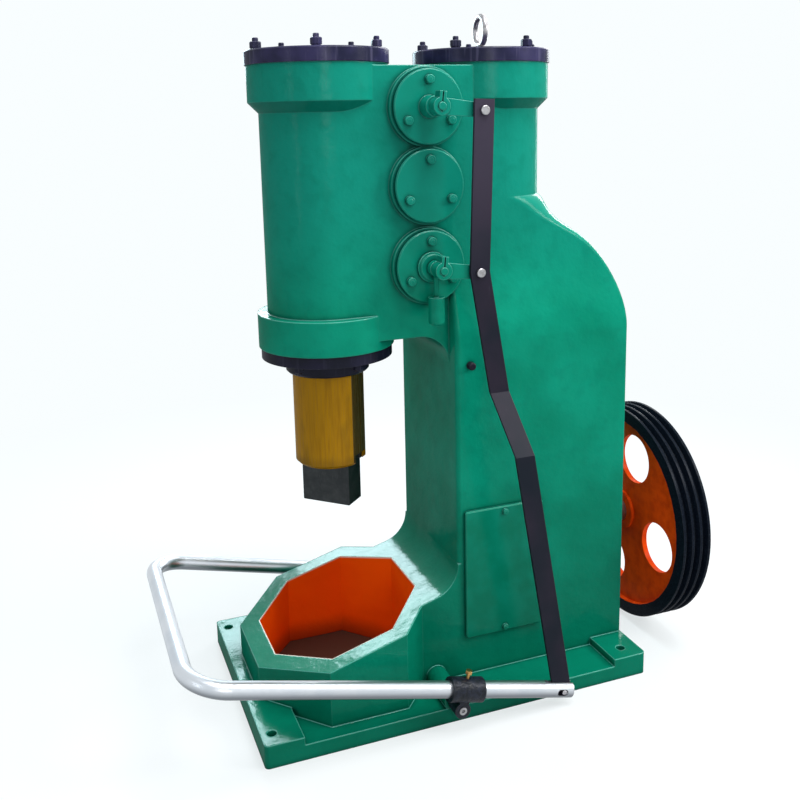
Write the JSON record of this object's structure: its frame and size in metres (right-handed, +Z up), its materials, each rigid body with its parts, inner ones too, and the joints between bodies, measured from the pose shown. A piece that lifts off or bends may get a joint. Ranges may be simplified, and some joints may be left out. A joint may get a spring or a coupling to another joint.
{
  "type": "pneumatic forging hammer",
  "caption": "Self-contained air forging hammer: one-piece cast frame with two cylinders, guided ram with die, foot treadle linked to the valve arms, grooved belt pulley.",
  "frame": {"origin": "centre of the rectangle of anchor bolt holes, on the underside of the base", "axes": "+Z up, +X towards the belt pulley, -Y towards the valve gear and link bar"},
  "size_m": [1.3407, 0.679, 1.583],
  "materials": {
    "green_paint": "glossy enamel over cast iron, well inside painted orange",
    "lid_paint": "dark blue-black enamel",
    "black_steel": "black enamel on steel",
    "ram_coat": "ochre protective coat",
    "die_steel": "dark forged steel",
    "bright_tube": "polished tube",
    "bright_steel": "machined steel",
    "brass": "turned brass",
    "pulley_paint": "black grooved rim, orange-red web"
  },
  "bodies": {
    "frame": {"frame_casting": "green_paint", "front_cylinder_lid": "lid_paint", "rear_cylinder_lid": "lid_paint", "lifting_eyebolt": "bright_steel", "guide_gland": "lid_paint", "upper_valve_cover": "green_paint", "middle_valve_cover": "green_paint", "lower_valve_cover": "green_paint", "inspection_cover": "green_paint", "rear_bearing_housing": "green_paint", "side_peg": "black_steel", "near_pivot_pin": "bright_steel", "far_pivot_pin": "bright_steel"},
    "ram": {"ram": "ram_coat", "upper_die": "die_steel", "die_key": "die_steel"},
    "upper_valve": {"upper_valve_spindle": "green_paint", "upper_valve_arm": "green_paint", "upper_arm_pin": "bright_steel"},
    "lower_valve": {"lower_valve_spindle": "green_paint", "lower_valve_arm": "green_paint", "lower_arm_pin": "bright_steel", "valve_counterweight": "green_paint"},
    "link": {"link_bar": "black_steel", "treadle_link_pin": "bright_steel"},
    "treadle": {"treadle_tube": "bright_tube", "near_treadle_clamp": "black_steel", "far_treadle_clamp": "black_steel", "near_thumb_bolt": "brass", "far_thumb_bolt": "brass"},
    "pulley": {"crankshaft": "bright_steel", "drive_pulley": "pulley_paint", "pulley_key": "bright_steel", "pulley_washer": "bright_steel", "pulley_nut": "bright_steel"}
  },
  "joints": [
    {"name": "ram_slide", "type": "slide", "parent": "frame", "child": "ram", "axis": [0, 0, 1], "range_m": [0, 0.2]},
    {"name": "treadle_pivot", "type": "hinge", "parent": "frame", "child": "treadle", "pos_m": [-0.025, 0, 0.052], "axis": [0, -1, 0], "range_deg": [0, 10], "stiffness_Nm_per_rad": 12, "springref_deg": -85.94},
    {"name": "lower_valve_turn", "type": "hinge", "parent": "frame", "child": "lower_valve", "pos_m": [-0.0175, -0.2, 1.03], "axis": [0, -1, 0], "range_deg": [0, 32.7]},
    {"name": "upper_valve_turn", "type": "hinge", "parent": "frame", "child": "upper_valve", "pos_m": [-0.0175, -0.2, 1.374], "axis": [0, -1, 0], "range_deg": [0, 28.6]},
    {"name": "link_turn", "type": "hinge", "parent": "lower_valve", "child": "link", "pos_m": [0.06505, -0.23, 1.02132], "axis": [0, -1, 0], "range_deg": [-32.95, 0]},
    {"name": "pulley_spin", "type": "hinge", "parent": "frame", "child": "pulley", "pos_m": [0.6265, 0, 0.301], "axis": [1, 0, 0], "continuous": true}
  ],
  "couplings": [
    {"joint": "lower_valve_turn", "follows": "treadle_pivot", "ratio": 3.27},
    {"joint": "upper_valve_turn", "follows": "treadle_pivot", "ratio": 2.86},
    {"joint": "link_turn", "follows": "treadle_pivot", "ratio": -3.295}
  ]
}
